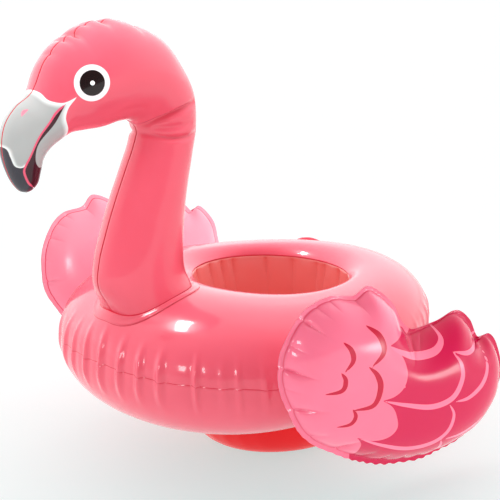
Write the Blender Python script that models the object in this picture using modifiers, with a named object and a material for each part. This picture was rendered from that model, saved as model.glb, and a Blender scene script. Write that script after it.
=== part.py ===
"""Inflatable flamingo float with a cup well, built from its separate PVC film pieces.

Metres, +Z up. The origin is the centre of the base's flat bottom, which is also the
middle of the cup well. The bird faces -Y and its left wing is on the +X side.
The base and the ring stay still; the neck, both wings and the valve's moving pieces
hang from empties that stand on their joint axes.
"""

import math

import bmesh
import bpy
from mathutils import Vector

# Film and welds
FILM = 0.0003              # thickness of the PVC film
GAP = 0.00035              # space kept between two films that are welded together
WELD = 0.004               # width of a weld flange inside the ring
SEAM = 0.003               # width of a weld flange on the neck and the wings

# Ring tube
RING_RADIUS = 0.1121       # mean outer radius in plan
RING_AHEAD = 0.0211        # the ring's centre lies this far ahead of the cup well
RING_LONG = 0.0166         # share by which it is longer than wide
RING_TAPER = 0.0297        # share by which its front is blunt and its tail drawn out
TUBE_HALF_WIDTH = 0.0430
TUBE_FRONT_GAIN = 0.0073   # the tube is this much fatter under the neck
TUBE_HALF_HEIGHT = 0.0345  # at the mean half width
RING_PITCH = 0.075         # slope of the ring, nose down
SEAM_ANGLE = -3.3          # degrees up the tube of the outer seam
SEAM_WAVE = 11.8           # degrees by which the seam rises at the front

# Cup well and base
WELL_HALF_WIDTH = 0.0510
WELL_HALF_LENGTH = 0.0457
WELL_TAPER = 0.0020        # the well is this much narrower at its floor
WELL_BULGE = 0.0030        # the wall swells this far into the well
RIM_DROP = 0.0075          # the well's rim lies this far below the tube's mean crest
RIM_RISE = 0.0034          # the rim is this much higher at the front
FLOOR_RISE = 0.0070        # the well's floor above the underside of the ring
FLOOR_SAG = 0.0020         # the floor's middle lies this far below its rim
SHOULDER_ROUNDING = 0.75   # roundness of the tube towards the well, 0 to 1
BASE_HEIGHT = 0.0370       # underside of the ring above the ground
BASE_BORDER = 0.0090       # from the well's edge to the weld of the base
BASE_EDGE_ROUND = 0.0180   # from that weld in to the flat bottom

# Neck and head: each rib runs from the front seam to the back seam of the bird.
# It gives both ends (forward of the foot's middle, up from the tube's crest) and the
# half width across, from the neck's foot to the beak's tip.
FOOT_INSET = 0.0107        # from the ring's front edge back to the neck's foot
NECK_HALF_LENGTH = 0.0275
NECK_HALF_WIDTH = 0.0245
NECK_CLEARANCE = 0.0026    # foot above the tube, room for the neck to lean
SKIRT_WIDTH = 0.0045       # welded border round the foot
NECK_RIBS = (
    ((0.0300, 0.0088), (-0.0255, 0.0108), 0.0235),
    ((0.0280, 0.0228), (-0.0263, 0.0258), 0.0225),
    ((0.0225, 0.0368), (-0.0290, 0.0418), 0.0215),
    ((0.0145, 0.0538), (-0.0330, 0.0588), 0.0205),
    ((0.0055, 0.0708), (-0.0380, 0.0758), 0.0195),
    ((-0.0015, 0.0838), (-0.0420, 0.0918), 0.0190),
    ((-0.0045, 0.0928), (-0.0415, 0.1098), 0.0200),
    ((-0.0005, 0.0988), (-0.0345, 0.1258), 0.0225),
    ((0.0055, 0.1008), (-0.0225, 0.1428), 0.0250),
    ((0.0135, 0.1008), (-0.0045, 0.1538), 0.0270),
    ((0.0225, 0.0998), (0.0145, 0.1583), 0.0275),
    ((0.0325, 0.1003), (0.0345, 0.1533), 0.0260),
    ((0.0415, 0.1003), (0.0495, 0.1418), 0.0215),
    ((0.0485, 0.0978), (0.0595, 0.1263), 0.0175),
    ((0.0545, 0.0943), (0.0705, 0.1198), 0.0150),
    ((0.0585, 0.0898), (0.0785, 0.1108), 0.0130),
    ((0.0605, 0.0838), (0.0815, 0.0978), 0.0110),
    ((0.0625, 0.0778), (0.0790, 0.0838), 0.0080),
    ((0.0655, 0.0743), (0.0745, 0.0753), 0.0040),
)
BEAK_TIP = (0.0695, 0.0726)

# Wings: outline of one wing, (rearward, up) from the weld on the ring
WING_ANGLE = 80.0          # place on the ring, degrees round from the front
WING_STANDOFF = 0.0080     # from the ring to the wing's seam plane
WING_YAW = -8.0            # degrees; the tail ends stand further out
WING_FLARE = 4.0           # degrees; the tops lean outward
WING_OUTER_BULGE = 0.0200
WING_CLEARANCE = 0.0008    # between the ring and the root patch
PATCH_LENGTH = 0.036
PATCH_HEIGHT = 0.012
WING_OUTLINE = (
    (0.012, 0.056), (0.001, 0.053), (-0.015, 0.056), (-0.030, 0.051),
    (-0.042, 0.037), (-0.047, 0.020), (-0.044, 0.003), (-0.032, -0.022),
    (-0.012, -0.038), (0.012, -0.051), (0.036, -0.057), (0.057, -0.057),
    (0.084, -0.049), (0.100, -0.032), (0.104, -0.014), (0.101, -0.001),
    (0.095, 0.008), (0.087, 0.008), (0.080, 0.021), (0.071, 0.028),
    (0.056, 0.025), (0.041, 0.024), (0.033, 0.031), (0.027, 0.043),
)
WING_MIDDLE = (0.022, 0.001)
RIGHT_WING_LIFT = 0.008    # the right wing is welded a little higher
RIGHT_WING_PITCH = 4.0     # degrees, tail up

# Valve, on the ring's upper panel behind the right wing
VALVE_ANGLE = -152.0       # degrees round from the front
VALVE_RISE = 38.0          # degrees up the tube
VALVE_BORE = 0.0049        # radius inside the collar
VALVE_COLLAR_WALL = 0.0008
VALVE_COLLAR_DEPTH = 0.0080
VALVE_FLANGE_RADIUS = 0.0100
VALVE_FLANGE_THICKNESS = 0.0008
STEM_BORE = 0.0033
STEM_LIP_RADIUS = 0.0065
LIP_THICKNESS = 0.0008
CAP_RADIUS = 0.0056
CAP_THICKNESS = 0.0010
PLUG_DEPTH = 0.0036
FLAP_THICKNESS = 0.0004
RUNNING_CLEARANCE = 0.0003

# Facets
ROUND = 42                 # steps round the ring
WING_STEPS = 40            # steps round a wing
LATHE_STEPS = 20

for old in list(bpy.data.objects):
    bpy.data.objects.remove(old)

# Sizes that follow from the ones above
RIM_LEVEL = BASE_HEIGHT + 2 * TUBE_HALF_HEIGHT - RIM_DROP
FLOOR_LEVEL = BASE_HEIGHT + FLOOR_RISE
BASE_WELD_RADIUS = max(WELL_HALF_WIDTH, WELL_HALF_LENGTH) + BASE_BORDER
BASE_FLAT_RADIUS = BASE_WELD_RADIUS - BASE_EDGE_ROUND

parts = bpy.data.collections.new("inflatable_flamingo_float")
cutters = bpy.data.collections.new("cutters")
for collection in (parts, cutters):
    bpy.context.scene.collection.children.link(collection)


def film_material(name, colour, roughness):
    """A Principled material for one film or moulding."""
    material = bpy.data.materials.new(name)
    material.use_nodes = True
    shader = material.node_tree.nodes["Principled BSDF"]
    shader.inputs["Base Color"].default_value = (*colour, 1.0)
    shader.inputs["Roughness"].default_value = roughness
    shader.inputs["Metallic"].default_value = 0.0
    return material


PINK = (0.86, 0.20, 0.27)
HOT_PINK = (0.80, 0.05, 0.16)
RED = (0.78, 0.02, 0.03)
CLEAR_PINK = (0.88, 0.36, 0.42)


def pivot_empty(name, place, turn=(0.0, 0.0, 0.0)):
    """An empty on a joint axis; the pieces that move on that joint are its children."""
    empty = bpy.data.objects.new(name, None)
    empty.location = place
    empty.rotation_euler = turn
    empty.empty_display_size = 0.02
    parts.objects.link(empty)
    return empty


def add_part(name, mesh, colour, parent=None, roughness=0.25):
    """Link a mesh as a named sub-part with its own material."""
    item = bpy.data.objects.new(name, mesh)
    item.data.materials.append(film_material(name + "_film", colour, roughness))
    item.parent = parent
    parts.objects.link(item)
    for polygon in mesh.polygons:
        polygon.use_smooth = True
    return item


def relink(item, collection):
    """Move a new primitive into one of the two collections."""
    for old_collection in list(item.users_collection):
        old_collection.objects.unlink(item)
    collection.objects.link(item)


def lofted_film(name, rows, colour, parent=None, closed=True, tip=None):
    """A film of even thickness through rows of points; tip closes the last row."""
    shape = bmesh.new()
    grid = [[shape.verts.new(point) for point in row] for row in rows]
    count = len(rows[0])
    spans = count if closed else count - 1
    for lower, upper in zip(grid, grid[1:]):
        for i in range(spans):
            j = (i + 1) % count
            shape.faces.new((lower[i], lower[j], upper[j], upper[i]))
    if tip is not None:
        point = shape.verts.new(tip)
        for i in range(spans):
            shape.faces.new((grid[-1][i], grid[-1][(i + 1) % count], point))
    mesh = bpy.data.meshes.new(name)
    shape.to_mesh(mesh)
    shape.free()
    item = add_part(name, mesh, colour, parent)
    wall = item.modifiers.new("film", "SOLIDIFY")
    wall.thickness = FILM
    wall.offset = -1.0
    return item


# Shape of the ring. Angles run round from the front towards the left wing.

def tube(theta):
    """Centre of the tube, its outward direction, half width and half height."""
    radius = RING_RADIUS * (1 + RING_LONG * math.cos(2 * theta)
                            - RING_TAPER * math.cos(3 * theta))
    slope = RING_RADIUS * (-2 * RING_LONG * math.sin(2 * theta)
                           + 3 * RING_TAPER * math.sin(3 * theta))
    sine, cosine = math.sin(theta), math.cos(theta)
    outward = Vector((radius * sine - slope * cosine,
                      -radius * cosine - slope * sine, 0)).normalized()
    half_width = TUBE_HALF_WIDTH + TUBE_FRONT_GAIN * cosine
    half_height = half_width * TUBE_HALF_HEIGHT / TUBE_HALF_WIDTH
    centre = Vector((radius * sine, -radius * cosine, 0)) - outward * half_width
    height = BASE_HEIGHT + half_height + RING_PITCH * centre.y
    return Vector((centre.x, centre.y - RING_AHEAD, height)), outward, half_width, half_height


def outer_skin(theta, rise):
    """Point on the outer half of the tube, rise degrees above its middle."""
    centre, outward, half_width, half_height = tube(theta)
    rise = math.radians(rise)
    return (centre + outward * half_width * math.cos(rise)
            + Vector((0, 0, half_height * math.sin(rise))))


def seam_rise(theta):
    return SEAM_ANGLE + SEAM_WAVE * math.cos(theta)


def well_edge(theta, shrink=0.0):
    """Plan point on the cup well's oval."""
    return Vector(((WELL_HALF_WIDTH - shrink) * math.sin(theta),
                   -(WELL_HALF_LENGTH - shrink) * math.cos(theta), 0))


def shoulder_curve(share):
    """How far the skin has dropped between the crest (0) and the well's edge (1)."""
    full = 1 - math.sqrt(1 - SHOULDER_ROUNDING ** 2)
    return (1 - math.sqrt(1 - (share * SHOULDER_ROUNDING) ** 2)) / full


def shoulder(theta, share, side, shrink=0.0):
    """Point on the tube from its crest (share 0) to the well's edge (share 1).

    side is 1 on top and -1 underneath.
    """
    centre, _, _, half_height = tube(theta)
    point = Vector((centre.x, centre.y, 0)).lerp(well_edge(theta, shrink), share)
    crest = centre.z + side * half_height
    edge = RIM_LEVEL + RIM_RISE * math.cos(theta) if side > 0 else FLOOR_LEVEL
    point.z = crest + (edge - crest) * shoulder_curve(share)
    return point


def ring_top(x, y):
    """Height of the ring's upper skin above a plan point near the tube's crest."""
    place = Vector((x, y, 0))
    theta = math.atan2(x, -(y + RING_AHEAD))
    for _ in range(4):
        centre, outward, half_width, half_height = tube(theta)
        away = place - Vector((centre.x, centre.y, 0))
        along = Vector((-outward.y, outward.x, 0))
        theta += along.dot(away) / RING_RADIUS
    across = away.dot(outward)
    if across > 0:
        return centre.z + half_height * math.sqrt(1 - (across / half_width) ** 2)
    reach = (well_edge(theta) - Vector((centre.x, centre.y, 0))).length
    crest = centre.z + half_height
    rim_height = RIM_LEVEL + RIM_RISE * math.cos(theta)
    return crest + (rim_height - crest) * shoulder_curve(-across / reach)


around = [2 * math.pi * i / ROUND for i in range(ROUND)]
UP = Vector((0, 0, 1))


def moved(points, step):
    """The same points, shifted by one step each."""
    return [point + step for point in points]


# Ring: an upper and a lower panel, welded to each other along the outer seam.
# Each turns inward there as a flat flange.

def seam_row(inset):
    return [outer_skin(theta, seam_rise(theta)) - tube(theta)[1] * inset
            for theta in around]


UPPER_RISES = (12, 28, 44, 60, 75)
UPPER_SHARES = (0.0, 0.34, 0.68, 1.0)
half_gap = UP * (GAP / 2)
rim = [shoulder(theta, 1.0, 1) for theta in around]
rim_flange = [point + tube(theta)[1] * WELD for point, theta in zip(rim, around)]

upper_rows = [moved(seam_row(WELD), half_gap), moved(seam_row(0), half_gap)]
for step in UPPER_RISES:
    upper_rows.append([outer_skin(theta, seam_rise(theta) + step
                                  * (90 - seam_rise(theta)) / 90) for theta in around])
for share in UPPER_SHARES:
    upper_rows.append([shoulder(theta, share, 1) for theta in around])
upper_rows.append(moved(rim_flange, -UP * (WELD / 2)))
ring_upper_panel = lofted_film("ring_upper_panel", upper_rows, PINK)

LOWER_DROPS = (14, 32, 50, 70)
LOWER_SHARES = (0.0, 0.4, 0.75, 1.0)
lower_rows = [moved(seam_row(WELD), -half_gap), moved(seam_row(0), -half_gap)]
for step in LOWER_DROPS:
    lower_rows.append([outer_skin(theta, seam_rise(theta) - step
                                  * (90 + seam_rise(theta)) / 90) for theta in around])
for share in LOWER_SHARES:
    lower_rows.append([shoulder(theta, share, -1, WELL_TAPER) for theta in around])
lofted_film("ring_lower_panel", lower_rows[::-1], PINK)

# Cup well: one band of film that joins the two panels and forms the well's wall.
foot = [shoulder(theta, 1.0, -1, WELL_TAPER) for theta in around]
wall_top = moved(rim, -UP * (FILM + GAP))
wall_foot = moved(foot, UP * (FILM + GAP))
wall_rows = [[point + tube(theta)[1] * WELD - UP * (WELD / 2)
              for point, theta in zip(wall_top, around)], wall_top]
for share in (0.22, 0.5, 0.78):
    swell = WELL_BULGE * 4 * share * (1 - share)
    wall_rows.append([high.lerp(low, share) - well_edge(theta).normalized() * swell
                      for high, low, theta in zip(wall_top, wall_foot, around)])
wall_rows.append(wall_foot)
wall_rows.append([point + tube(theta)[1] * WELD for point, theta in zip(wall_foot, around)])
lofted_film("ring_well_wall", wall_rows, PINK)


def underside(theta, radius, drop):
    """Point under the tube at a plan radius from the origin, drop below its skin."""
    centre, _, half_width, half_height = tube(theta)
    middle = Vector((centre.x, centre.y, 0))
    reach = well_edge(theta, WELL_TAPER) - middle
    low, high = -1.0, 1.0
    for _ in range(30):
        share = (low + high) / 2
        if (middle + reach * share).length > radius:
            low = share
        else:
            high = share
    if share > 0:
        point = shoulder(theta, share, -1, WELL_TAPER)
    else:
        point = middle + reach * share
        across = min(1.0, -share * reach.length / half_width)
        point.z = centre.z - half_height * math.sqrt(1 - across ** 2)
    point.z -= drop
    return point


# Well floor: a disc welded under the lower panel's inner edge.
floor_drop = FILM + GAP
floor_rows = [
    [underside(theta, well_edge(theta, WELL_TAPER).length + WELD, floor_drop)
     for theta in around],
    moved(foot, -UP * floor_drop),
]
floor_level = FLOOR_LEVEL - floor_drop
for share in (0.75, 0.4):
    floor_rows.append([Vector((point.x * share, point.y * share,
                               floor_level - FLOOR_SAG * (1 - share ** 2)))
                       for point in foot])
lofted_film("well_floor", floor_rows, RED, tip=(0, 0, floor_level - FLOOR_SAG))

# Base: a red dome that hangs below the ring and stands on a flat bottom.
base_rows = [
    [underside(theta, BASE_WELD_RADIUS - WELD, floor_drop) for theta in around],
    [underside(theta, BASE_WELD_RADIUS, floor_drop) for theta in around],
]
for turn in (22, 44, 66, 90):
    turn = math.radians(turn)
    row = []
    for theta, top in zip(around, base_rows[1]):
        radius = (BASE_FLAT_RADIUS
                  + (BASE_WELD_RADIUS - BASE_FLAT_RADIUS) * math.cos(turn))
        plan = Vector((top.x, top.y, 0)).normalized() * radius
        row.append(plan + UP * top.z * (1 - math.sin(turn)))
    base_rows.append(row)
lofted_film("base_dome", [row[::-1] for row in base_rows], RED, tip=(0, 0, 0))

# Neck and head: a left and a right side panel, welded along the bird's middle plane.
front_centre, _, front_half_width, front_half_height = tube(0.0)
foot_forward = front_half_width - front_centre.y - FOOT_INSET - NECK_HALF_LENGTH
crest_height = front_centre.z + front_half_height
neck_pivot = pivot_empty("neck_pivot", front_centre)
FOOT_TURNS = (-90, -68, -46, -23, 0, 23, 46, 68, 90)


def neck_rib(front, back, half_width, side):
    """One row of a side panel: flange, front seam, round side, back seam, flange."""
    front, back = (Vector((0, -foot_forward - forward, crest_height + up))
                   for forward, up in (front, back))
    middle = (front + back) / 2
    half = (back - front) / 2
    inset = 1 - min(SEAM / half.length, 0.5)
    clear = Vector((side * GAP, 0, 0))
    row = [middle - half * inset + clear, front + clear]
    for turn in FOOT_TURNS[1:-1]:
        turn = math.radians(turn)
        row.append(middle + half * math.sin(turn)
                   + Vector((side * (GAP + (half_width - GAP) * math.cos(turn)), 0, 0)))
    row += [back + clear, middle + half * inset + clear]
    return [point - front_centre for point in row]


def foot_point(turn, grow, side, lift):
    """Point on the neck's oval foot, resting on the ring."""
    x = side * max(GAP, (NECK_HALF_WIDTH + grow) * math.cos(turn))
    y = -foot_forward + (NECK_HALF_LENGTH + grow) * math.sin(turn)
    return Vector((x, y, ring_top(x, y) + lift)) - front_centre


skirt_lift = NECK_CLEARANCE + FILM
foot_lift = skirt_lift + 2 * FILM + 2 * GAP
for side, name in ((1, "neck_left_panel"), (-1, "neck_right_panel")):
    foot_row = [foot_point(math.radians(turn), 0, side, foot_lift) for turn in FOOT_TURNS]
    ends = [foot_point(math.radians(turn), -SEAM, side, foot_lift) for turn in (-90, 90)]
    foot_row = [ends[0], *foot_row, ends[1]]
    ribs = [neck_rib(*rib, side) for rib in NECK_RIBS]
    panel_rows = [foot_row, *ribs]
    tip = Vector((side * GAP, -foot_forward - BEAK_TIP[0],
                  crest_height + BEAK_TIP[1])) - front_centre
    lofted_film(name, panel_rows if side > 0 else [row[::-1] for row in panel_rows],
                PINK, neck_pivot, closed=False, tip=tip)

# Skirt: the flat border by which the neck's foot is welded to the ring.
back_turns = [180 - turn for turn in FOOT_TURNS[-2:0:-1]]
turns = [math.radians(turn) for turn in (*FOOT_TURNS, *back_turns)]
skirt_rows = []
for grow in (-SKIRT_WIDTH / 2, SKIRT_WIDTH / 4, SKIRT_WIDTH):
    row = []
    for turn in turns:
        x = (NECK_HALF_WIDTH + grow) * math.cos(turn)
        y = -foot_forward + (NECK_HALF_LENGTH + grow) * math.sin(turn)
        row.append(Vector((x, y, ring_top(x, y) + skirt_lift)) - front_centre)
    skirt_rows.append(row)
lofted_film("neck_base_skirt", skirt_rows[::-1], PINK, neck_pivot)


# Wings: an outer and an inner panel each, with a flat welded border all round.

def smooth_loop(points, count):
    """A closed smooth curve through the points, as count evenly numbered places."""
    total = len(points)
    places = []
    for i in range(count):
        span, t = divmod(i * total / count, 1.0)
        a, b, c, d = (Vector(points[(int(span) + k - 1) % total]) for k in range(4))
        places.append(0.5 * (2 * b + (c - a) * t + (2 * a - 5 * b + 4 * c - d) * t ** 2
                             + (3 * b - a - 3 * c + d) * t ** 3))
    return places


wing_root = outer_skin(math.radians(WING_ANGLE), seam_rise(math.radians(WING_ANGLE)))
inner_bulge = WING_STANDOFF - WING_CLEARANCE - 2 * FILM - 1.5 * GAP
flange_face = GAP / 2 + FILM
middle = Vector(WING_MIDDLE)
wing_edge = smooth_loop(WING_OUTLINE, WING_STEPS)


def wing_panel(name, side, bulge, facing, colour, parent, lift):
    """Half of a wing; facing is 1 for the outer panel and -1 for the inner one."""
    rows = []
    for share in (None, 1.0, 0.93, 0.76, 0.5, 0.25):
        row = []
        for edge in wing_edge:
            spoke = edge - middle
            weld_line = spoke * (1 - SEAM / spoke.length)
            flat = spoke if share is None else weld_line * share
            swell = 0.0 if share is None else bulge * math.sqrt(1 - share ** 2)
            row.append(Vector((side * (WING_STANDOFF + facing * (flange_face + swell)),
                               middle.x + flat.x, middle.y + flat.y + lift)))
        rows.append(row)
    tip = Vector((side * (WING_STANDOFF + facing * (flange_face + bulge)),
                  middle.x, middle.y + lift))
    if side * facing < 0:
        rows = [row[::-1] for row in rows]
    return lofted_film(name, rows, colour, parent, tip=tip)


for side, word, lift, pitch in ((1, "left", 0.0, 0.0),
                                (-1, "right", RIGHT_WING_LIFT, RIGHT_WING_PITCH)):
    wing_pivot = pivot_empty(
        word + "_wing_pivot", (side * wing_root.x, wing_root.y, wing_root.z),
        (math.radians(pitch), side * math.radians(WING_FLARE), side * math.radians(WING_YAW)))
    wing_panel(word + "_wing_outer_panel", side, WING_OUTER_BULGE, 1, HOT_PINK,
               wing_pivot, lift)
    wing_panel(word + "_wing_inner_panel", side, inner_bulge, -1, PINK, wing_pivot, lift)
    bpy.ops.mesh.primitive_cube_add(size=1.0)
    patch = bpy.context.object
    patch.name = word + "_wing_root_patch"
    patch.data.name = patch.name
    relink(patch, parts)
    for vertex in patch.data.vertices:
        vertex.co = (side * (WING_CLEARANCE + FILM / 2) + vertex.co.x * FILM,
                     vertex.co.y * PATCH_LENGTH, vertex.co.z * PATCH_HEIGHT)
    patch.parent = wing_pivot
    patch.data.materials.append(film_material(patch.name + "_film", PINK, 0.25))


# Valve: a moulded collar welded into the upper panel, with a stem that pops out,
# a plug on a strap, and a flap that holds the air while the plug is open.

valve_theta = math.radians(VALVE_ANGLE)
valve_place = outer_skin(valve_theta, VALVE_RISE)
_, valve_outward, valve_half_width, valve_half_height = tube(valve_theta)
rise = math.radians(VALVE_RISE)
valve_axis = (valve_outward * math.cos(rise) / valve_half_width
              + UP * math.sin(rise) / valve_half_height).normalized()
valve_turn = valve_axis.to_track_quat("Z", "Y").to_euler()
valve_mount = pivot_empty("valve_mount", valve_place, valve_turn)
stem_pivot = pivot_empty("stem_pivot", (0, 0, 0))
stem_pivot.parent = valve_mount
plug_pivot = pivot_empty("plug_pivot", (0, 0, 0))
plug_pivot.parent = stem_pivot


def turned(name, profile, colour, parent, closed=True):
    """A lathe-turned piece: the profile (radius, height) runs down its outer side."""
    mesh = bpy.data.meshes.new(name)
    count = len(profile)
    edges = [(i, i + 1) for i in range(count - 1)]
    if closed:
        edges.append((count - 1, 0))
    mesh.from_pydata([(radius, 0, height) for radius, height in profile], edges, [])
    item = add_part(name, mesh, colour, parent)
    lathe = item.modifiers.new("lathe", "SCREW")
    lathe.steps = lathe.render_steps = LATHE_STEPS
    lathe.use_merge_vertices = True
    lathe.merge_threshold = 0.0001
    return item


flange_under = 0.0003
flange_top = flange_under + VALVE_FLANGE_THICKNESS
collar_outer = VALVE_BORE + VALVE_COLLAR_WALL
stem_outer = VALVE_BORE - RUNNING_CLEARANCE
lip_under = flange_top + RUNNING_CLEARANCE
lip_top = lip_under + LIP_THICKNESS
stem_foot = -VALVE_COLLAR_DEPTH + FLAP_THICKNESS + 2 * RUNNING_CLEARANCE
cap_under = lip_top + RUNNING_CLEARANCE
cap_top = cap_under + CAP_THICKNESS
plug_outer = STEM_BORE - RUNNING_CLEARANCE

turned("valve_collar", (
    (VALVE_BORE, flange_top), (VALVE_FLANGE_RADIUS, flange_top),
    (VALVE_FLANGE_RADIUS, flange_under), (collar_outer, flange_under),
    (collar_outer, -VALVE_COLLAR_DEPTH), (VALVE_BORE, -VALVE_COLLAR_DEPTH)),
    CLEAR_PINK, valve_mount)
turned("valve_stem", (
    (STEM_BORE, lip_top), (STEM_LIP_RADIUS, lip_top), (STEM_LIP_RADIUS, lip_under),
    (stem_outer, lip_under), (stem_outer, stem_foot), (STEM_BORE, stem_foot)),
    CLEAR_PINK, stem_pivot)
turned("valve_plug", (
    (0, cap_top), (CAP_RADIUS, cap_top), (CAP_RADIUS, cap_under), (plug_outer, cap_under),
    (plug_outer, cap_under - PLUG_DEPTH), (0, cap_under - PLUG_DEPTH)),
    CLEAR_PINK, plug_pivot, closed=False)

flap_hinge_x = -(stem_outer - RUNNING_CLEARANCE)
flap_top = stem_foot - RUNNING_CLEARANCE
flap_pivot = pivot_empty("flap_pivot", (flap_hinge_x, 0, flap_top))
flap_pivot.parent = stem_pivot
bpy.ops.mesh.primitive_cylinder_add(vertices=LATHE_STEPS, depth=FLAP_THICKNESS,
                                    radius=stem_outer - RUNNING_CLEARANCE)
flap = bpy.context.object
flap.name = "valve_flap"
relink(flap, parts)
flap.parent = flap_pivot
flap.location = (-flap_hinge_x, 0, -FLAP_THICKNESS / 2)
flap.data.materials.append(film_material("valve_flap_film", CLEAR_PINK, 0.3))

# Strap: a soft loop from the stem's lip to the plug's cap.
STRAP_RADIUS = 0.0004
strap_curve = bpy.data.curves.new("strap_path", "CURVE")
strap_curve.dimensions = "3D"
strap_curve.bevel_depth = STRAP_RADIUS
strap_curve.bevel_resolution = 2
strap_curve.use_fill_caps = True
lip_middle = (lip_under + lip_top) / 2
cap_middle = (cap_under + cap_top) / 2
strap_start = STEM_LIP_RADIUS + RUNNING_CLEARANCE
strap_end = CAP_RADIUS + RUNNING_CLEARANCE
loop_radius = (cap_middle - lip_middle) / 2
strap_points = [(strap_start, lip_middle), (strap_start + 0.0015, lip_middle)]
for turn in (-60, -30, 0, 30, 60):
    turn = math.radians(turn)
    strap_points.append((strap_start + 0.0020 + loop_radius * math.cos(turn),
                         (lip_middle + cap_middle) / 2 + loop_radius * math.sin(turn)))
strap_points += [(strap_start + 0.0015, cap_middle), (strap_end, cap_middle)]
spline = strap_curve.splines.new("POLY")
spline.points.add(len(strap_points) - 1)
for point, (radius, height) in zip(spline.points, strap_points):
    point.co = (radius, 0, height, 1)
strap = bpy.data.objects.new("valve_strap", strap_curve)
strap.data.materials.append(film_material("valve_strap_film", CLEAR_PINK, 0.3))
strap.parent = stem_pivot
parts.objects.link(strap)

# The upper panel's hole for the collar.
bpy.ops.mesh.primitive_cylinder_add(vertices=LATHE_STEPS, depth=4 * VALVE_COLLAR_DEPTH,
                                    radius=collar_outer + RUNNING_CLEARANCE)
hole = bpy.context.object
hole.name = "valve_hole_cutter"
relink(hole, cutters)
hole.location = valve_place
hole.rotation_euler = valve_turn
hole.hide_render = True
hole.display_type = "WIRE"
cut = ring_upper_panel.modifiers.new("valve_hole", "BOOLEAN")
cut.operation = "DIFFERENCE"
cut.object = hole
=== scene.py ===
import math

import bpy
import numpy as np
from mathutils import Euler, Matrix, Vector


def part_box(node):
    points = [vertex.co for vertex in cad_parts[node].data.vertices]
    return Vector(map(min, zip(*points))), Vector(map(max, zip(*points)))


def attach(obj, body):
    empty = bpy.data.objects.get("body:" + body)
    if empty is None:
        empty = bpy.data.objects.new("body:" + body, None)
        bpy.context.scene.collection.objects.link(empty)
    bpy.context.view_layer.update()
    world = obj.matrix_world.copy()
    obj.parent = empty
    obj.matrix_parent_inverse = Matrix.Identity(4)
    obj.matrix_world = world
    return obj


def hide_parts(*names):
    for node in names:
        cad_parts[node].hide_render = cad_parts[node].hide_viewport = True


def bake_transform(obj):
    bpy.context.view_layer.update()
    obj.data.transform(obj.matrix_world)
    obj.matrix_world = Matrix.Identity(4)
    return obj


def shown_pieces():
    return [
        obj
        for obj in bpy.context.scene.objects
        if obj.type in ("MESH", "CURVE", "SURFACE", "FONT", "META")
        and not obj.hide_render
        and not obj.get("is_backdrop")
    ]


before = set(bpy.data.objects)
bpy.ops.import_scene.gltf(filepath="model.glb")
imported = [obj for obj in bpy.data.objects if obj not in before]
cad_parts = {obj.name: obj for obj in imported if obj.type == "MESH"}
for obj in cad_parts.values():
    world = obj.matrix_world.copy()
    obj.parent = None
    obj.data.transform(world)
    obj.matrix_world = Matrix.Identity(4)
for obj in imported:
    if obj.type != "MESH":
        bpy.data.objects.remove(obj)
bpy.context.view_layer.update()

# ---------------------------------------------------------------------------------
# Ring, upper panel. The top half of the air ring is one flat-cut piece of soft PVC
# film. It is welded to the lower panel along the outer seam and to the well's wall at
# the rim. Blown up it is smooth on top, and drawn into upright pleats at the seam.
# ---------------------------------------------------------------------------------

RING_RADIUS = 0.1121
RING_AHEAD = 0.0211
RING_LONG = 0.0166
RING_TAPER = 0.0297
RING_PITCH = 0.075
TUBE_HALF_WIDTH = 0.043
TUBE_FRONT_GAIN = 0.0073
TUBE_HALF_HEIGHT = 0.0345
BASE_HEIGHT = 0.037
SEAM_ANGLE = -3.3
SEAM_WAVE = 11.8
SEAM_DEPTH = 0.0002
WELL_HALF_WIDTH = 0.051
WELL_HALF_LENGTH = 0.0457
RIM_LEVEL = 0.0985
RIM_RISE = 0.0034
SHOULDER_ROUNDING = 0.75
ROUND_COLUMNS = 1440
NECK_PULL_RISE = 0.0045
NECK_PULL_MIDDLE = -0.117
NECK_PULL_REACH = 0.018
VALVE_HOLE_RADIUS = 0.0068
UP = np.array((0.0, 0.0, 1.0))
around = np.linspace(0, 2 * math.pi, ROUND_COLUMNS, endpoint=False)


def tube(theta):
    """Middle of the tube, its outward direction, half width and half height."""
    radius = RING_RADIUS * (1 + RING_LONG * np.cos(2 * theta)
                            - RING_TAPER * np.cos(3 * theta))
    slope = RING_RADIUS * (-2 * RING_LONG * np.sin(2 * theta)
                           + 3 * RING_TAPER * np.sin(3 * theta))
    sine, cosine, level = np.sin(theta), np.cos(theta), np.zeros_like(theta)
    outward = np.stack((radius * sine - slope * cosine,
                        -radius * cosine - slope * sine, level), -1)
    outward /= np.linalg.norm(outward, axis=-1, keepdims=True)
    half_width = TUBE_HALF_WIDTH + TUBE_FRONT_GAIN * cosine
    half_height = half_width * TUBE_HALF_HEIGHT / TUBE_HALF_WIDTH
    centre = np.stack((radius * sine, -radius * cosine, level), -1)
    centre -= outward * half_width[..., None]
    centre[..., 2] = BASE_HEIGHT + half_height + RING_PITCH * centre[..., 1]
    centre[..., 1] -= RING_AHEAD
    return centre, outward, half_width, half_height


def seam_rise(theta):
    """How many degrees the outer seam lies above the tube's middle."""
    return SEAM_ANGLE + SEAM_WAVE * np.cos(theta)


def outer_skin(theta, rise):
    """Places on the outer half of the tube, rise degrees above its middle."""
    centre, outward, half_width, half_height = tube(theta)
    rise = np.radians(rise)
    return (centre + outward * (half_width * np.cos(rise))[..., None]
            + UP * (half_height * np.sin(rise))[..., None])


def well_edge(theta, shrink=0.0):
    """Plan of the cup well's oval."""
    return np.stack(((WELL_HALF_WIDTH - shrink) * np.sin(theta),
                     -(WELL_HALF_LENGTH - shrink) * np.cos(theta),
                     np.zeros_like(theta)), -1)


def shoulder_drop(share):
    """How far the skin has dropped between the crest (0) and the well's edge (1)."""
    full = 1 - math.sqrt(1 - SHOULDER_ROUNDING ** 2)
    return (1 - np.sqrt(1 - (share * SHOULDER_ROUNDING) ** 2)) / full


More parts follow.
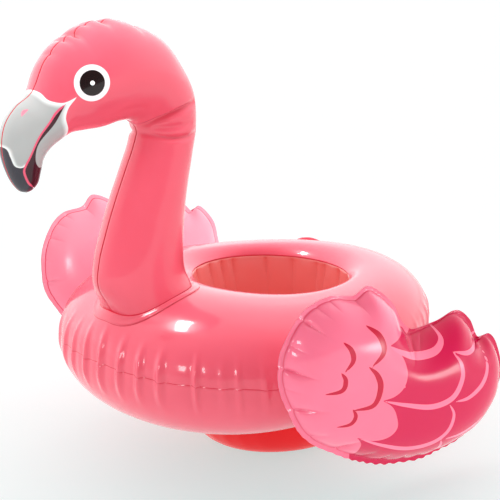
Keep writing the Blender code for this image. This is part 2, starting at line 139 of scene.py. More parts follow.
def inner_skin(theta, share, edge, side, shrink=0.0):
    """Places from the tube's crest (share 0) to the well's edge (share 1)."""
    centre, _, _, half_height = tube(theta)
    place = centre * (1 - share) + well_edge(theta, shrink) * share
    crest = centre[:, 2] + side * half_height
    place[:, 2] = crest + (edge - crest) * shoulder_drop(share)
    return place


def grid_normals(grid, closed):
    """Outward directions at every place of a grid of rows and columns."""
    if closed:
        along = np.roll(grid, -1, 1) - np.roll(grid, 1, 1)
    else:
        along = np.gradient(grid, axis=1)
    normal = np.cross(along, np.gradient(grid, axis=0))
    return normal / np.maximum(np.linalg.norm(normal, axis=2, keepdims=True), 1e-12)


def film_piece(name, grid, closed=True, tip=None, dropped=None):
    """A smooth film through a grid of places; tip closes the last row."""
    rows, columns = grid.shape[:2]
    number = np.arange(rows * columns).reshape(rows, columns)
    if closed:
        number = np.concatenate((number, number[:, :1]), 1)
    quads = np.stack((number[:-1, :-1], number[:-1, 1:],
                      number[1:, 1:], number[1:, :-1]), -1).reshape(-1, 4)
    places = grid.reshape(-1, 3)
    if dropped is not None:
        quads = quads[~dropped(places[quads].mean(1))]
    faces = quads.tolist()
    places = places.tolist()
    if tip is not None:
        last = number[-1]
        faces += [(a, b, len(places)) for a, b in zip(last[:-1].tolist(), last[1:].tolist())]
        places.append(tip)
    mesh = bpy.data.meshes.new(name)
    mesh.from_pydata(places, [], faces)
    mesh.shade_smooth()
    piece = bpy.data.objects.new(name, mesh)
    bpy.context.scene.collection.objects.link(piece)
    return piece


def neck_pull(x, y):
    """How far the blown-up neck lifts the ring's film just ahead of its foot."""
    away = (x ** 2 + (y - NECK_PULL_MIDDLE) ** 2) / NECK_PULL_REACH ** 2
    return NECK_PULL_RISE * np.exp(-away)


def ridges(place, length, found):
    """Sum of soft pleats at these places along a seam of that length, in mm.

    Each is (where, height, half width); the seam is a closed loop.
    """
    total = np.zeros_like(place)
    for where, height, width in found:
        gap = (place - where + length / 2) % length - length / 2
        total += height * (np.exp(-(gap / width) ** 2)
                           - 0.4 * np.exp(-(gap / (2.4 * width)) ** 2))
    return total


def fade(distance, reach):
    """1 at the seam, easing to 0 at that reach."""
    return np.clip(1 - (distance / reach) ** 2, 0, 1) ** 2


dice = np.random.default_rng(11)
seam_line = outer_skin(around, seam_rise(around)) * 1000
seam_steps = np.linalg.norm(np.roll(seam_line, -1, 0) - seam_line, axis=1)
seam_length = seam_steps.sum()
seam_place = np.concatenate(((0,), np.cumsum(seam_steps)[:-1]))
FRONT_PLEATS = ((-47, 1.8, 3.4), (-35, 2.0, 3.2), (-22.6, 2.3, 3.0), (-14.5, 2.0, 2.6),
                (-5.8, 2.6, 2.8), (2.6, 2.9, 2.7), (11.2, 2.5, 2.6), (18.8, 2.4, 2.6),
                (26.1, 2.5, 2.7), (37.5, 2.2, 1.8), (45.3, 0.8, 2.6), (49.7, 1.2, 2.0))
pleats = list(FRONT_PLEATS)
turn = 57.0
while turn < 306:
    pleats.append((turn, dice.uniform(0.8, 2.2), dice.uniform(1.8, 3.0)))
    turn += dice.uniform(5.5, 11.0)
pleats = [(np.interp(math.radians(turn % 360), around, seam_place), height, width)
          for turn, height, width in pleats]
seam_pleats = ridges(seam_place, seam_length, pleats)
seam_sag = (0.25 * np.sin(9 * around + 1) + 0.2 * np.sin(23 * around)
            - 0.25 * seam_pleats) / 1000

rim_level = RIM_LEVEL + RIM_RISE * np.cos(around)
upper_rows = [outer_skin(around, seam_rise(around))
              - tube(around)[1] * SEAM_DEPTH]
upper_reach = [np.zeros_like(around)]
for share in (0.006, 0.014, 0.026, 0.045, 0.07, 0.1, 0.13, 0.165, 0.2, 0.24, 0.28,
              0.33, 0.38, 0.44, 0.5, 0.57, 0.65, 0.74, 0.83, 0.92):
    swing = (90 - seam_rise(around)) * share
    upper_rows.append(outer_skin(around, seam_rise(around) + swing))
    upper_reach.append(np.radians(swing) * tube(around)[2] * 900)
for share in (0, 0.1, 0.2, 0.3, 0.4, 0.5, 0.6, 0.7, 0.8, 0.87, 0.93, 0.97, 0.99, 1.0):
    upper_rows.append(inner_skin(around, share, rim_level, 1))
    upper_reach.append(np.full_like(around, 99.0))
upper_rows.append(inner_skin(around, 1.0, rim_level, 1) - UP * 0.0009
                  + tube(around)[1] * 0.0005)
upper_reach.append(np.full_like(around, 99.0))
upper = np.array(upper_rows)
upper_reach = np.array(upper_reach)
upper_out = grid_normals(upper, True)
upper_out[0] = tube(around)[1]
lift = seam_pleats * fade(upper_reach, 24) - 0.8 * np.exp(-(upper_reach / 8) ** 2)
upper += upper_out * (lift / 1000)[..., None]
upper[..., 2] += seam_sag * fade(upper_reach, 12)
off_seam = np.clip(upper_reach / 16, 0, 1)
upper[..., 2] += neck_pull(upper[..., 0], upper[..., 1]) * off_seam ** 2 * (3 - 2 * off_seam)

valve_middle = np.array(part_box("valve_collar")).mean(0)
ring_upper = film_piece("ring_upper_skin", upper, dropped=lambda place: (
    np.linalg.norm(place - valve_middle, axis=1) < VALVE_HOLE_RADIUS))


def linear(hex_colour):
    """An sRGB hex colour as linear RGBA."""
    parts = [int(hex_colour[i:i + 2], 16) / 255 for i in (0, 2, 4)]
    return [p / 12.92 if p <= 0.04045 else ((p + 0.055) / 1.055) ** 2.4
            for p in parts] + [1.0]


def add(tree, kind, inputs, **settings):
    """Add a node with its settings; inputs hold values, or sockets to link from."""
    made = tree.nodes.new("ShaderNode" + kind)
    for key, value in settings.items():
        setattr(made, key, value)
    for key, value in inputs.items():
        if isinstance(value, bpy.types.NodeSocket):
            tree.links.new(value, made.inputs[key])
        else:
            made.inputs[key].default_value = value
    return made


# Strength of the painted glow that every film gives off, though it is no lamp.
PAINTED_GLOW = 0.52


def ink_and_painted_glow(tree, shader, ink):
    """Give the film its colour, and a painted glow: light that the film gives off itself.

    The glow stands for light that has crossed the film again and again, so it takes the
    colour's power. This painted light is only seen, and lights nothing round it.
    """
    glow_colour = add(tree, "Gamma", {"Color": ink, "Gamma": 2.2})
    seen = add(tree, "LightPath", {}).outputs["Is Camera Ray"]
    painted_glow = add(tree, "Math", {0: seen, 1: PAINTED_GLOW}, operation="MULTIPLY").outputs["Value"]
    tree.links.new(painted_glow, shader.inputs["Emission Strength"])
    tree.links.new(ink, shader.inputs["Base Color"])
    tree.links.new(glow_colour.outputs["Color"], shader.inputs["Emission Color"])


def pvc_film(name, colour, deep, softness=0.15):
    """Calendered soft PVC film, pigmented through, blown tight.

    The rolls leave it glossy with a faint long ripple. The pigment clouds a little,
    and light that enters it comes out again nearby, which softens every shadow.
    """
    made = bpy.data.materials.new(name)
    made.use_nodes = True
    tree = made.node_tree
    tree.nodes.clear()
    where = add(tree, "TexCoord", {}).outputs["Object"]
    cloud = add(tree, "TexNoise", {"Vector": where, "Scale": 1 / 0.03, "Detail": 2.0})
    tint = add(tree, "Mix", {"Factor": cloud.outputs["Fac"], "A": linear(colour),
                             "B": linear(deep)}, data_type="RGBA")
    handled = add(tree, "TexNoise", {"Vector": where, "Scale": 1 / 0.012, "Detail": 3.0})
    gloss = add(tree, "MapRange", {"Value": handled.outputs["Fac"], "From Min": 0.3,
                                   "From Max": 0.7, "To Min": 0.16, "To Max": 0.24})
    ripple = add(tree, "TexNoise", {"Vector": where, "Scale": 1 / 0.018, "Detail": 1.0})
    bump = add(tree, "Bump", {"Height": ripple.outputs["Fac"], "Strength": 0.22,
                              "Distance": 0.0008})
    shader = add(tree, "BsdfPrincipled", {
        "Base Color": tint.outputs["Result"], "Roughness": gloss.outputs["Result"],
        "IOR": 1.37, "Subsurface Weight": softness, "Subsurface Scale": 0.005,
        "Subsurface Radius": (1.0, 0.35, 0.3), "Coat Weight": 0.5,
        "Coat Roughness": 0.06, "Normal": bump.outputs["Normal"]})
    add(tree, "OutputMaterial", {"Surface": shader.outputs["BSDF"]})
    return made, tree, tint.outputs["Result"], shader


def plain_film(name, colour, deep, softness=0.15):
    """Film with no print on it."""
    made, tree, base, shader = pvc_film(name, colour, deep, softness)
    ink_and_painted_glow(tree, shader, base)
    return made, shader


def mark(piece, name, depth):
    """Keep a print's depth on the piece's points, for its material to read."""
    held = piece.data.attributes.new(name, "FLOAT", "POINT")
    held.data.foreach_set("value", np.asarray(depth, np.float32))


INK_EDGE = 0.12


def printed(tree, base, name, colour):
    """Screen-printed ink over the film wherever the named print is deeper than 0 mm."""
    depth = add(tree, "Attribute", {}, attribute_name=name).outputs["Fac"]
    cover = add(tree, "MapRange", {"Value": depth, "From Min": -INK_EDGE,
                                   "From Max": INK_EDGE}, interpolation_type="SMOOTHSTEP")
    return add(tree, "Mix", {"Factor": cover.outputs["Result"], "A": base,
                             "B": linear(colour)}, data_type="RGBA").outputs["Result"]


def weld_mark(piece, grid, rows, depth, elsewhere, tip=()):
    """Colour the welds, which run along those rows of the piece's grid."""
    line = np.full(grid.shape[:2], elsewhere)
    line[rows] = depth
    mark(piece, "weld", np.concatenate((line.reshape(-1), tip)))


pink_film, tree, base, shader = pvc_film("pink_pvc_film_calendered", "E36A7E", "DF6075")
ink_and_painted_glow(tree, shader, printed(tree, base, "weld", "D42440"))
ring_upper.data.materials.append(pink_film)
weld_mark(ring_upper, upper, [0, -1], 0.4, -1.0)
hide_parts("ring_upper_panel")
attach(ring_upper, "float_body")

# ---------------------------------------------------------------------------------
# Ring, lower panel. The same pink film, cut as a second flat ring and welded to the
# upper one face to face. The pleats run on across the seam from one to the other.
# ---------------------------------------------------------------------------------

WELL_TAPER = 0.002
FLOOR_LEVEL = BASE_HEIGHT + 0.007
floor_edge = np.full_like(around, FLOOR_LEVEL)
lower_rows = [outer_skin(around, seam_rise(around)) - tube(around)[1] * SEAM_DEPTH]
lower_reach = [np.zeros_like(around)]
for share in (0.007, 0.016, 0.03, 0.05, 0.08, 0.11, 0.15, 0.19, 0.23, 0.28, 0.33,
              0.39, 0.46, 0.54, 0.63, 0.72, 0.81, 0.9):
    swing = (90 + seam_rise(around)) * share
    lower_rows.append(outer_skin(around, seam_rise(around) - swing))
    lower_reach.append(np.radians(swing) * tube(around)[2] * 900)
for share in np.linspace(0, 1, 12):
    lower_rows.append(inner_skin(around, share, floor_edge, -1, WELL_TAPER))
    lower_reach.append(np.full_like(around, 99.0))
lower = np.array(lower_rows)[::-1]
lower_reach = np.array(lower_reach)[::-1]
lower_out = grid_normals(lower, True)
lower_out[-1] = tube(around)[1]
lift = seam_pleats * fade(lower_reach, 23) - 0.8 * np.exp(-(lower_reach / 8) ** 2)
lower += lower_out * (lift / 1000)[..., None]
lower[..., 2] += seam_sag * fade(lower_reach, 12)
ring_lower = film_piece("ring_lower_skin", lower)
ring_lower.data.materials.append(pink_film)
weld_mark(ring_lower, lower, [-1], 0.4, -1.0)
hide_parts("ring_lower_panel")
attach(ring_lower, "float_body")

# ---------------------------------------------------------------------------------
# Cup well's wall. One band of the pink film, welded into a tube and then to both
# panels. Air pushes it inward, so it hangs in upright folds between its two seams.
# ---------------------------------------------------------------------------------

WALL_BULGE = 0.003
WALL_FOLDS = (8, 27, 49, 66, 88, 110, 127, 149, 166, 182.7, 190.1, 210.8, 231.5, 258.3,
              268.5, 281.5, 302, 321, 342)
rim = inner_skin(around, 1.0, rim_level, 1) - UP * 0.0009
foot = inner_skin(around, 1.0, floor_edge, -1, WELL_TAPER) + UP * 0.0006
edge_place = np.degrees(around)
wall_rows = [rim + tube(around)[1] * 0.0005]
folds = []
for turn in WALL_FOLDS:
    gap = (edge_place - turn + 180) % 360 - 180
    folds.append(np.exp(-np.abs(gap) / dice.uniform(2.2, 3.6)) * dice.uniform(1.8, 3.2))
folds = np.max(folds, axis=0)
inward = -well_edge(around) / np.linalg.norm(well_edge(around), axis=1)[:, None]
for share in (0.004, 0.015, 0.03, 0.05, 0.075, 0.11, 0.15, 0.2, 0.26, 0.33, 0.4, 0.47, 0.54,
              0.61, 0.68, 0.75, 0.81, 0.86, 0.9, 0.94, 0.97, 0.99, 1.0):
    swell = WALL_BULGE * (4 * share * (1 - share)) ** 0.6
    pull = 0.35 + 0.65 * max(math.exp(-((share - 0.12) / 0.16) ** 2),
                             math.exp(-((share - 0.9) / 0.2) ** 2))
    pull *= min(1.0, share * 25) * min(1.0, (1 - share) * 25)
    wall_rows.append(rim * (1 - share) + foot * share
                     + inward * (swell - folds * pull / 1000)[:, None])
wall = film_piece("well_wall_skin", np.array(wall_rows))
# The wall's film is a paler, more orange pink than the ring's: painted light that brightens the well's
# shaded inside, with painted orange light thrown back from the red floor.
well_painted_light_film = plain_film("pink_pvc_film_double_thick", "F09A96", "EC8E8A", 0.2)[0]
wall.data.materials.append(well_painted_light_film)
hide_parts("ring_well_wall")
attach(wall, "float_body")

# ---------------------------------------------------------------------------------
# Well floor. A red disc welded under the lower panel's inner edge, so that a can has
# something to stand on. It sags a little and puckers where its weld gathers it.
# ---------------------------------------------------------------------------------

FLOOR_SAG = 0.002


def underside(theta, radius, drop):
    """Places under the tube at a plan radius from the origin, drop below its skin."""
    centre, _, half_width, half_height = tube(theta)
    middle = centre * (1, 1, 0)
    reach = well_edge(theta, WELL_TAPER) - middle
    a = (reach ** 2).sum(1)
    b = 2 * (reach * middle).sum(1)
    c = (middle ** 2).sum(1) - radius ** 2
    share = (-b - np.sqrt(b ** 2 - 4 * a * c)) / (2 * a)
    place = middle + reach * share[:, None]
    crest = centre[:, 2] - half_height
    near = crest + (FLOOR_LEVEL - crest) * shoulder_drop(np.clip(share, 0, 1))
    across = np.clip(-share * np.sqrt(a) / half_width, 0, 1)
    far = centre[:, 2] - half_height * np.sqrt(1 - across ** 2)
    place[:, 2] = np.where(share > 0, near, far) - drop
    return place


floor_foot = inner_skin(around, 1.0, floor_edge, -1, WELL_TAPER) * (1, 1, 0)
floor_rows = []
for share in (1.0, 0.97, 0.94, 0.9, 0.85, 0.8, 0.7, 0.6, 0.45, 0.3, 0.15):
    pucker = 0.35 * np.sin(34 * around + np.sin(5 * around)) * fade(1 - share, 0.22)
    level = FLOOR_LEVEL - 0.0003 - FLOOR_SAG * (1 - share ** 2) + pucker / 1000
    floor_rows.append(floor_foot * share + UP * level[:, None])
floor_disc = film_piece("well_floor_skin", np.array(floor_rows),
                        tip=(0, 0, FLOOR_LEVEL - 0.0003 - FLOOR_SAG))
red_film, shader = plain_film("red_pvc_film_calendered", "E81420", "E2101C", 0.1)
shader.inputs["IOR"].default_value = 1.4
shader.inputs["Coat Weight"].default_value = 0.0
floor_disc.data.materials.append(red_film)
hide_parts("well_floor")
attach(floor_disc, "float_body")

# ---------------------------------------------------------------------------------
# Base. A red chamber welded to the underside of the ring, with a flat bottom, which
# keeps the float upright. Its weld gathers the film into short upright pleats.
# ---------------------------------------------------------------------------------

BASE_WELD_RADIUS = 0.060
BASE_FLAT_RADIUS = 0.042
base_top = underside(around, BASE_WELD_RADIUS, 0.0003)
base_rows = [underside(around, BASE_WELD_RADIUS - 0.004, 0.0003), base_top]
for turn in (4, 9, 15, 22, 30, 38, 47, 56, 65, 74, 82, 90):
    turn = math.radians(turn)
    radius = BASE_FLAT_RADIUS + (BASE_WELD_RADIUS - BASE_FLAT_RADIUS) * math.cos(turn)
    gather = (0.45 * np.sin(26 * around + 2 * np.sin(3 * around)) * fade(turn, 1.1)
              * min(1.0, turn * 6) / 1000)
    plan = base_top * (1, 1, 0)
    plan *= ((radius + gather) / np.linalg.norm(plan, axis=1))[:, None]
    base_rows.append(plan + UP * (base_top[:, 2] * (1 - math.sin(turn)))[:, None])
for share in (0.8, 0.5, 0.25):
    base_rows.append(base_rows[13] * share)
base = film_piece("base_skin", np.array(base_rows)[:, ::-1], tip=(0, 0, 0))
base.data.materials.append(red_film)
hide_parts("base_dome")
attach(base, "float_body")

# ---------------------------------------------------------------------------------
# Neck and head. Two side panels of pink film, printed on the flat before they are
# cut: a pale beak with a black tip, and a ringed eye. They are welded along the
# bird's middle, which puckers the crown, and folded where the neck bends forward.
# ---------------------------------------------------------------------------------

FOOT_MIDDLE = -0.0935
NECK_HALF_LENGTH = 0.0275
NECK_FRONT_LENGTH = 0.0235
NECK_HALF_WIDTH = 0.0245
NECK_RIBS = (
    (123.5, 122.0, 68.0, 124.0, 23.5), (121.5, 136.0, 67.2, 139.0, 22.5),
    (116.0, 150.0, 64.5, 155.0, 21.5), (108.0, 167.0, 60.5, 172.0, 20.5),
    (99.0, 184.0, 55.5, 189.0, 19.5), (92.0, 197.0, 51.5, 205.0, 19.0),
    (89.0, 206.0, 52.0, 223.0, 20.0), (93.0, 212.0, 59.0, 239.0, 22.5),
    (99.0, 214.0, 71.0, 256.0, 25.0), (107.0, 214.0, 89.0, 267.0, 27.0),
    (116.0, 213.0, 108.0, 271.5, 27.5), (126.0, 213.5, 128.0, 266.5, 26.0),
    (135.0, 213.5, 143.0, 255.0, 21.5), (142.0, 211.0, 153.0, 239.5, 17.5),
    (148.0, 207.5, 164.0, 233.0, 15.0), (152.0, 203.0, 172.0, 224.0, 13.0),
    (154.0, 197.0, 175.0, 211.0, 11.0), (156.0, 191.0, 172.5, 197.0, 8.0),
    (159.0, 187.5, 168.0, 188.5, 4.0))
BEAK_TIP = (163.0, 185.8)
# Creases across the crown's seam: forward, up, depth, half width and reach, in mm.
CROWN_CREASES = ((139, 256, 1.0, 1.3, 6), (131, 263, 2.2, 1.4, 9), (125, 265.5, 5.0, 1.6, 11),
                 (117, 270, 1.2, 1.4, 7), (106.4, 270, 4.6, 1.5, 9), (96, 269, 0.8, 1.4, 6),
                 (86.3, 266, 3.4, 1.6, 10), (77, 261, 0.9, 1.5, 6))
# Folds where the neck bends: line on the side as forward and up, depth, half width.
NECK_FOLDS = ((((90, 209), (86, 212), (81, 214), (75, 216), (66, 218), (58, 219)), 3.8, 1.5),
              (((89, 205), (83, 203), (77, 201.5), (66, 200.5), (56, 201)), 2.6, 1.4),
              (((86, 208.5), (80, 208), (72, 208), (62, 208)), 1.0, 1.4))


def smooth(points, steps, closed=False):
    """A smooth run through the points, with that many steps between each two."""
    points = np.asarray(points, float)
    if closed:
        before, after = np.roll(points, 1, 0), np.roll(points, -1, 0)
        later = np.roll(points, -2, 0)
        start = points
    else:
        padded = np.concatenate((2 * points[:1] - points[1:2], points,
                                 2 * points[-1:] - points[-2:-1]))
        before, start, after, later = padded[:-3], padded[1:-2], padded[2:-1], padded[3:]
    runs = []
    for t in np.arange(steps) / steps:
        runs.append(0.5 * (2 * start + (after - before) * t
                           + (2 * before - 5 * start + 4 * after - later) * t ** 2
                           + (3 * start - before - 3 * after + later) * t ** 3))
    run = np.stack(runs, 1).reshape((-1,) + points.shape[1:])
    return run if closed else np.concatenate((run, points[-1:]))


def ring_top(x, y):
    """Height of the ring's upper skin above plan places near the tube's crest."""
    theta = np.arctan2(x, -(y + RING_AHEAD))
    for _ in range(5):
        centre, outward, half_width, half_height = tube(theta)
        away = np.stack((x - centre[:, 0], y - centre[:, 1], 0 * x), -1)
        along = np.stack((-outward[:, 1], outward[:, 0], 0 * x), -1)
        theta = theta + (along * away).sum(1) / RING_RADIUS
    across = (away * outward).sum(1)
    outer = centre[:, 2] + half_height * np.sqrt(
        1 - np.clip(across / half_width, 0, 1) ** 2)
    reach = np.linalg.norm(well_edge(theta) - centre * (1, 1, 0), axis=1)
    crest = centre[:, 2] + half_height
    level = RIM_LEVEL + RIM_RISE * np.cos(theta)
    inner = crest + (level - crest) * shoulder_drop(np.clip(-across / reach, 0, 1))
    return np.where(across > 0, outer, inner) + neck_pull(x, y)


turns = np.radians(np.concatenate((
    (-90, -88.8, -87.2, -85), np.linspace(-82, 82, 72), (85, 87.2, 88.8, 90))))


def foot_plan(turn, grow):
    """Plan of the neck's foot: an oval that is a little squarer than an ellipse."""
    cosine, sine = np.cos(turn), np.sin(turn)
    x = np.sign(cosine) * np.abs(cosine) ** 0.8 * (NECK_HALF_WIDTH + grow)
    length = np.where(sine < 0, NECK_FRONT_LENGTH, NECK_HALF_LENGTH)
    y = np.sign(sine) * np.abs(sine) ** 0.92 * (length + grow)
    return x, FOOT_MIDDLE + y


foot_x, foot_y = foot_plan(turns, 0)
foot_line = np.stack((foot_x, foot_y, ring_top(foot_x, foot_y) + 0.0009), -1)
stations = [foot_line]
for front_y, front_z, back_y, back_z, width in NECK_RIBS:
    front = np.array((0, -front_y, front_z)) / 1000
    back = np.array((0, -back_y, back_z)) / 1000
    stations.append((front + back) / 2 + (back - front) / 2 * np.sin(turns)[:, None]
                    + np.array((width / 1000, 0, 0)) * np.cos(turns)[:, None])
beak_tip = np.array((0, -BEAK_TIP[0], BEAK_TIP[1])) / 1000
stations.append(np.repeat(beak_tip[None], len(turns), 0))
head = smooth(np.array(stations), 14)[:-1]
head_out = grid_normals(head, False)
row_steps = np.linalg.norm(np.diff(head, axis=1), axis=2) * 1000
from_front = np.concatenate((np.zeros((len(head), 1)), np.cumsum(row_steps, 1)), 1)
from_back = from_front[:, -1:] - from_front
crown = head[:, -1] * 1000
crown_steps = np.linalg.norm(np.diff(crown, axis=0), axis=1)
crown_place = np.concatenate(((0,), np.cumsum(crown_steps)))
dent = np.zeros(head.shape[:2])
for forward, up, depth, width, reach in CROWN_CREASES:
    row = np.hypot(crown[:, 1] + forward, crown[:, 2] - up).argmin()
    gap = np.abs(crown_place - crown_place[row])[:, None]
    dent += (depth * np.exp(-gap / (width * (1 + from_back / reach)))
             * np.exp(-(from_back / reach) ** 1.5))
side_plan = np.stack((-head[..., 1], head[..., 2]), -1).reshape(-1, 2) * 1000


def line_gap(place, points):
    """Distance from each place to a smooth line, and how far along it that is."""
    line = smooth(points, 24)
    start, run = line[:-1], np.diff(line, axis=0)
    gap = np.full(len(place), 1e9)
    along = np.zeros(len(place))
    for i, (near, step) in enumerate(zip(start, run)):
        share = np.clip(((place - near) @ step) / (step @ step), 0, 1)
        found = np.linalg.norm(place - near - share[:, None] * step, axis=1)
        closer = found < gap
        gap[closer] = found[closer]
        along[closer] = ((i + share) / len(run))[closer]
    return gap, along


for points, depth, width in NECK_FOLDS:
    gap, along = line_gap(side_plan, points)
    fold = depth * np.exp(-(gap / width) ** 2) * np.sin(math.pi * along) ** 0.6
    dent += fold.reshape(dent.shape)
dent *= np.minimum(1.0, 0.8 + np.minimum(from_front, from_back) / 1.5)
head -= head_out * (dent / 1000)[..., None]
to_seam = np.minimum(from_front, from_back)
seam_dip = np.zeros_like(head)
seam_middle = (head[:, :1] + head[:, -1:]) / 2
for column, depth in ((0, 1.1), (-1, 1.1)):
    toward = seam_middle[:, 0] - head[:, column]
    far = np.linalg.norm(toward, axis=1, keepdims=True)
    seam_dip[:, column] = toward / np.maximum(far, 1e-9) * np.minimum(depth / 1000, far * 0.3)
head += seam_dip


def line_print(place, points, widest):
    """How deep in a printed stroke each place lies, in mm; it tapers to both ends."""
    gap, along = line_gap(place, points)
    return widest / 2 * np.sin(math.pi * along) ** 0.7 - gap


def area_print(place, edge):
    """How deep in a printed area each place lies, in mm; negative outside."""
    edge = np.asarray(edge, float)
    ahead = np.roll(edge, -1, 0)
    run = ahead - edge
    away = place[:, None] - edge[None]
    share = np.clip((away * run).sum(2) / np.maximum((run ** 2).sum(1), 1e-9), 0, 1)
    gap = np.linalg.norm(away - run * share[..., None], axis=2).min(1)
    level = place[:, 1:2]
    crosses = (edge[:, 1] > level) != (ahead[:, 1] > level)
    rise = np.where(np.abs(run[:, 1]) < 1e-9, 1e-9, run[:, 1])
    at = edge[:, 0] + (level - edge[:, 1]) * run[:, 0] / rise
    inside = (crosses & (place[:, :1] < at)).sum(1) % 2 == 1
    return np.where(inside, gap, -gap)


BEAK_EDGE = (((156, 243), (152.3, 240), (151, 236), (146.5, 234.2), (142.8, 234.9),
              (137.6, 237.3)),
             ((137.6, 237.3), (141.3, 233.8), (143.9, 230), (144.8, 225), (142.5, 219),
              (140.5, 212)))
BLACK_EDGE = (((178, 216), (174.5, 213), (173.5, 208.6), (172.2, 203.8), (170.4, 202.3),
               (168.6, 202.3), (167.2, 203.3)),
              ((167.2, 203.3), (167.9, 199.5), (165.4, 193.3), (161.7, 189.6), (158, 184)))
MOUTH_EDGE = (((144.5, 233.4), (150.8, 223.8), (159.2, 215.2), (161.6, 209.4),
               (161.5, 204), (159, 200.5), (156, 200)),
              ((154, 186), (161.7, 189.6)),
              ((161.7, 189.6), (165.4, 193.3), (167.9, 199.5), (167.2, 203.3),
               (165.2, 207.2), (161.1, 215.2), (153.2, 224.6), (144.5, 233.4)))
LIP_LINE = ((144.5, 233.4), (149.4, 229.4), (153.2, 225), (158.2, 219.5), (161.1, 215.2),
            (163.6, 210.3), (165.2, 207.2), (167.2, 203.3), (167.9, 199.5), (165.4, 193.3),
            (161.7, 189.6))
NOSTRIL = ((165.4, 229), (163.2, 231.3), (161, 232.3))
EYE = (0.025, -0.1305, 0.243)


def joined(parts):
    """One outline from smooth lines that meet at corners."""
    return np.concatenate([smooth(points, 8)[:-1] for points in parts])


beak = area_print(side_plan, np.concatenate((joined(BEAK_EDGE), (
    (140.5, 180), (190, 180), (190, 250), (156, 250)))))
black = area_print(side_plan, np.concatenate((joined(BLACK_EDGE), (
    (158, 180), (190, 180), (190, 216)))))
mouth = area_print(side_plan, joined(MOUTH_EDGE))
gap, along = line_gap(side_plan, LIP_LINE)
lip = 0.55 * np.minimum(1, 14 * np.minimum(along + 0.02, 1.02 - along)) - gap
nostril = line_print(side_plan, NOSTRIL, 1.1)

head_film, tree, base, shader = pvc_film("printed_head_pvc_film", "E2667A", "DE5C70")
depth = add(tree, "Attribute", {}, attribute_name="beak").outputs["Fac"]
shade = add(tree, "MapRange", {"Value": depth, "From Min": 0.2, "From Max": 3.6},
            interpolation_type="SMOOTHSTEP")
ivory = add(tree, "Mix", {"Factor": shade.outputs["Result"], "A": linear("E4E5E4"),
                          "B": linear("B2B2B1")}, data_type="RGBA")
cover = add(tree, "MapRange", {"Value": depth, "From Min": -INK_EDGE,
                               "From Max": INK_EDGE}, interpolation_type="SMOOTHSTEP")
ink = add(tree, "Mix", {"Factor": cover.outputs["Result"], "A": base,
                        "B": ivory.outputs["Result"]}, data_type="RGBA").outputs["Result"]
ink = printed(tree, ink, "beak_black", "39343F")
ink = printed(tree, ink, "mouth", "3F0A1B")
ink = printed(tree, ink, "lip_line", "E0607E")
ink = printed(tree, ink, "nostril", "E58FA0")
ink = printed(tree, ink, "weld", "C8142E")
spot = add(tree, "TexCoord", {}).outputs["Object"]
mirrored_spot = add(tree, "VectorMath", {0: spot}, operation="ABSOLUTE").outputs["Vector"]
from_eye = add(tree, "VectorMath", {0: mirrored_spot, 1: [abs(v) for v in EYE]},
               operation="DISTANCE").outputs["Value"]
for radius, colour in ((9.9, "E9E4E5"), (6.9, "1C0507"), (1.25, "FFFFFF")):
    cover = add(tree, "MapRange", {
        "Value": from_eye, "From Min": (radius + INK_EDGE) / 1000,
        "From Max": (radius - INK_EDGE) / 1000}, interpolation_type="SMOOTHSTEP")
    ink = add(tree, "Mix", {"Factor": cover.outputs["Result"], "A": ink,
                            "B": linear(colour)}, data_type="RGBA").outputs["Result"]
ink_and_painted_glow(tree, shader, ink)


def backward(values, mirrored):
    """The same values for the mirrored panel, whose columns run the other way."""
    grid = values.reshape(head.shape[:2])
    return (grid[:, ::-1] if mirrored else grid).reshape(-1)


neck_left = film_piece("neck_left_skin", head)
neck_right = film_piece("neck_right_skin", head[:, ::-1] * (-1, 1, 1))
for piece, mirrored in ((neck_left, False), (neck_right, True)):
    piece.data.materials.append(head_film)
    for name, depth in (("beak", np.minimum(beak, 2 * np.maximum(-black, 0) + 0.2)),
                        ("beak_black", black), ("mouth", mouth), ("lip_line", lip),
                        ("nostril", nostril), ("weld", 0.45 - to_seam.reshape(-1))):
        mark(piece, name, backward(depth, mirrored))
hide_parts("neck_left_panel")
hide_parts("neck_right_panel")
for piece in (neck_left, neck_right):
    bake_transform(piece)

# ---------------------------------------------------------------------------------
# Neck skirt. A narrow oval border of the same film, welded flat onto the ring all
# round the neck's foot. Its outer edge stands as a fine line on the ring.
# ---------------------------------------------------------------------------------

skirt_turns = np.linspace(0, 2 * math.pi, 240, endpoint=False)
skirt_rows = []
for grow, height in ((-0.0015, 0.0007), (0.0004, 0.0007), (0.0008, 0.0010), (0.0013, 0.0007),
                     (0.0025, 0.0006), (0.0034, 0.0006), (0.0041, 0.0008),
                     (0.0045, 0.0007), (0.0046, 0.0)):
    x, y = foot_plan(skirt_turns, grow)
    skirt_rows.append(np.stack((x, y, ring_top(x, y) + height), -1))
skirt_rows = np.array(skirt_rows)[::-1]
skirt = film_piece("neck_skirt_skin", skirt_rows)
skirt.data.materials.append(pink_film)
weld_mark(skirt, skirt_rows, [0, -2], 0.15, -0.3)
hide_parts("neck_base_skirt")
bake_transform(skirt)

# ---------------------------------------------------------------------------------
# Wings. Each is two panels of film welded edge to edge, with a flat border left
# outside the weld. The weld gathers the film into creases along the rounded front.
# The outer panel is printed with two rows of feathers; the inner one is plain film in a paler pink, which
# is painted light.
# ---------------------------------------------------------------------------------

WING_OUTLINE = (
    (12, 56), (1, 53), (-15, 56), (-30, 51), (-42, 37), (-47, 20), (-44, 3), (-32, -22),
    (-12, -38), (12, -51), (36, -57), (57, -57), (84, -49), (100, -32), (104, -14),
    (101, -1), (95, 8), (87, 8), (80, 21), (71, 28), (56, 25), (41, 24), (33, 31), (27, 43))
WING_MIDDLE = np.array((22.0, 1.0))
WING_ANGLE = 80
WING_STANDOFF = 8.0
WING_FLARE = 4
WING_YAW = -8
WING_BORDER = 3.0
OUTER_BULGE = 20.0
INNER_BULGE = 6.0
RIGHT_WING_LIFT = 11.0
RIGHT_WING_PITCH = 12
